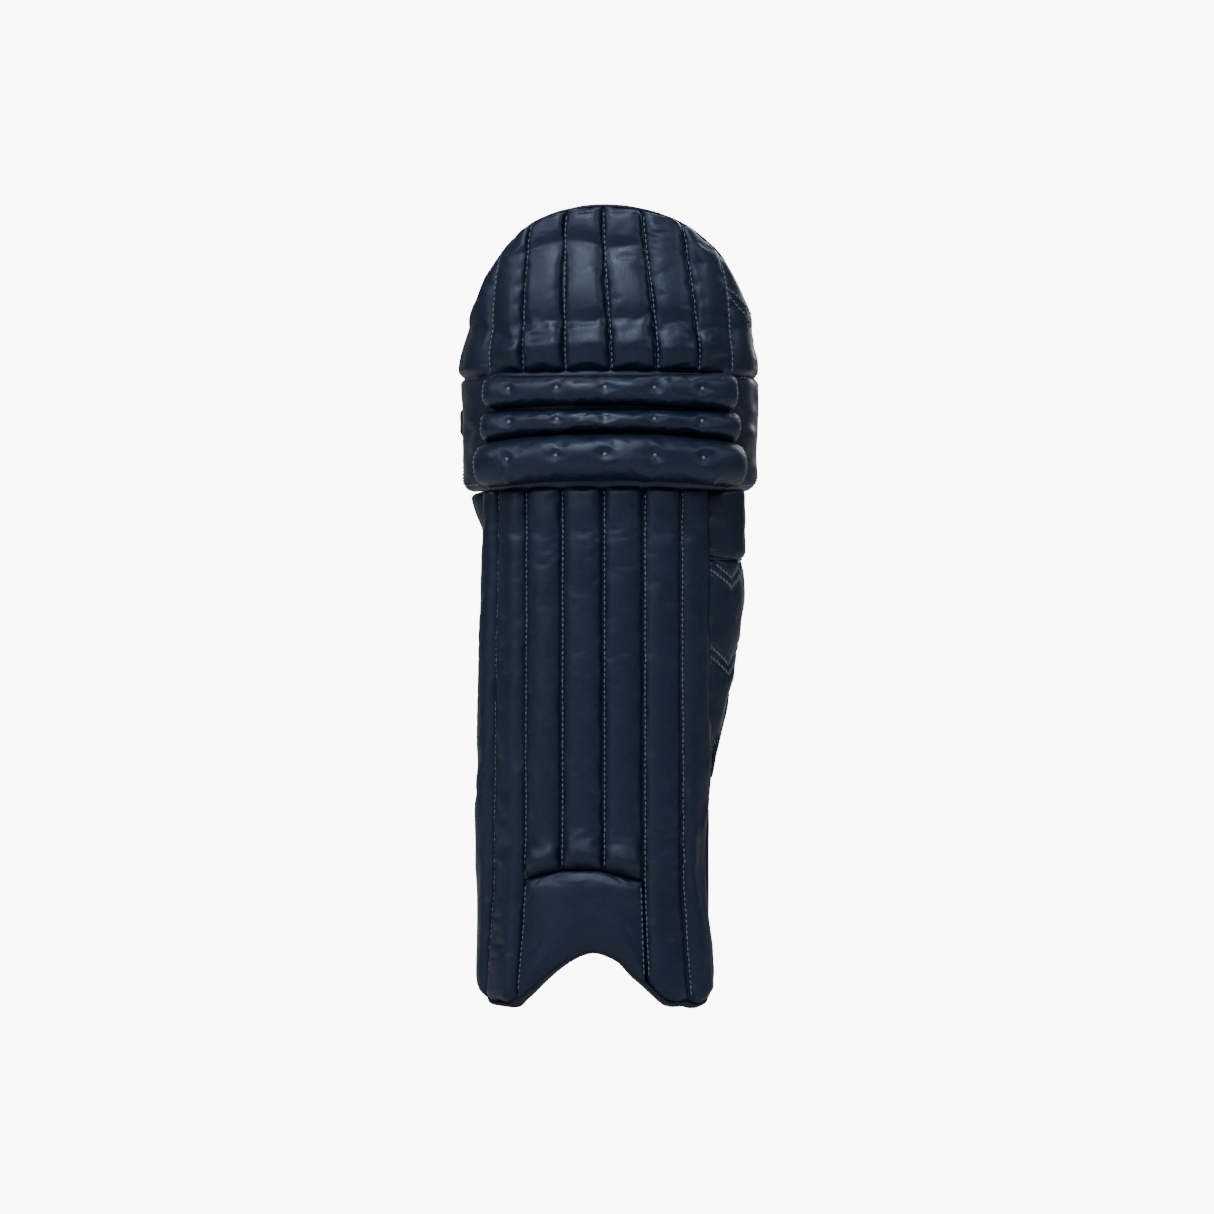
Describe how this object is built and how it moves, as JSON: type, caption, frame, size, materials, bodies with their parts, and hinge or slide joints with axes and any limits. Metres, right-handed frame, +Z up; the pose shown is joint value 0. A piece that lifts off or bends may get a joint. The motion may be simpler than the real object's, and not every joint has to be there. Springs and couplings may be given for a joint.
{
  "type": "cricket leg pad",
  "caption": "Padded cricket leg guard with a ribbed shin, quilted knee rolls, a domed top flap, a side wing and hook-and-loop straps.",
  "frame": {"origin": "under the middle of the pad's outline, level with its lowest edge", "axes": "+Z up along the leg, -Y the way the front of the pad faces, +X towards the side with the large calf wing"},
  "size_m": [0.267, 0.2228, 0.6999],
  "materials": {
    "pad_leather": "semi-gloss",
    "binding_leather": "satin",
    "stitching": "matte",
    "lining_fabric": "matte",
    "foam": "matte",
    "cane": "satin",
    "webbing": "matte",
    "hook_and_loop": "matte"
  },
  "bodies": {
    "calf_wing": {"calf_wing_cover": "pad_leather", "calf_wing_foam": "foam", "calf_wing_lining": "lining_fabric"},
    "top_hat": {"hat_binding": "binding_leather", "hat_cane_1": "cane", "hat_cane_2": "cane", "hat_cane_3": "cane", "hat_cane_4": "cane", "hat_cane_5": "cane", "hat_cane_6": "cane", "hat_cane_7": "cane", "hat_cane_8": "cane", "hat_cover": "pad_leather", "hat_foam": "foam", "hat_lining": "lining_fabric"},
    "shin": {"instep_cover": "pad_leather", "instep_pad": "foam", "loop_patch_ankle": "hook_and_loop", "loop_patch_calf": "hook_and_loop", "narrow_wing_cover": "pad_leather", "narrow_wing_foam": "foam", "narrow_wing_lining": "lining_fabric", "shin_binding": "binding_leather", "shin_bolster_left": "lining_fabric", "shin_bolster_right": "lining_fabric", "shin_cane_1": "cane", "shin_cane_2": "cane", "shin_cane_3": "cane", "shin_cane_4": "cane", "shin_cane_5": "cane", "shin_cane_6": "cane", "shin_cane_7": "cane", "shin_cover": "pad_leather", "shin_foam": "foam", "shin_lining": "lining_fabric", "side_pad_left": "pad_leather", "side_pad_right": "pad_leather"},
    "knee": {"knee_cover": "pad_leather", "knee_cup": "lining_fabric", "knee_foam": "foam", "knee_lining": "lining_fabric", "knee_roll_core_lower": "foam", "knee_roll_core_middle": "foam", "knee_roll_core_upper": "foam", "knee_roll_cover_lower": "pad_leather", "knee_roll_cover_middle": "pad_leather", "knee_roll_cover_upper": "pad_leather", "loop_patch_knee": "hook_and_loop", "tufting_lower": "stitching", "tufting_middle": "stitching", "tufting_upper": "stitching"},
    "strap_ankle": {"strap_ankle_band": "webbing", "strap_ankle_hook": "hook_and_loop", "strap_ankle_pad": "lining_fabric"},
    "strap_calf": {"strap_calf_band": "webbing", "strap_calf_hook": "hook_and_loop", "strap_calf_pad": "lining_fabric"},
    "strap_knee": {"strap_knee_band": "webbing", "strap_knee_hook": "hook_and_loop", "strap_knee_pad": "lining_fabric"}
  },
  "joints": [
    {"name": "knee_flex", "type": "hinge", "parent": "shin", "child": "knee", "pos_m": [0, -0.079, 0.453], "axis": [-1, 0, 0], "range_deg": [0, 10]},
    {"name": "top_hat_flex", "type": "hinge", "parent": "knee", "child": "top_hat", "pos_m": [0, -0.079, 0.552], "axis": [-1, 0, 0], "range_deg": [0, 10]},
    {"name": "calf_wing_open", "type": "hinge", "parent": "shin", "child": "calf_wing", "pos_m": [0.09003, -0.04164, 0.31], "axis": [0, 0, -1], "range_deg": [0, 35]},
    {"name": "strap_knee_open", "type": "hinge", "parent": "knee", "child": "strap_knee", "pos_m": [0.12012, 0.06066, 0.514], "axis": [0, 0, -1], "range_deg": [0, 90]},
    {"name": "strap_calf_open", "type": "hinge", "parent": "calf_wing", "child": "strap_calf", "pos_m": [0.07816, 0.04946, 0.352], "axis": [0, 0, -1], "range_deg": [0, 90]},
    {"name": "strap_ankle_open", "type": "hinge", "parent": "shin", "child": "strap_ankle", "pos_m": [0.08043, -0.02623, 0.105], "axis": [0, 0, -1], "range_deg": [0, 90]}
  ]
}
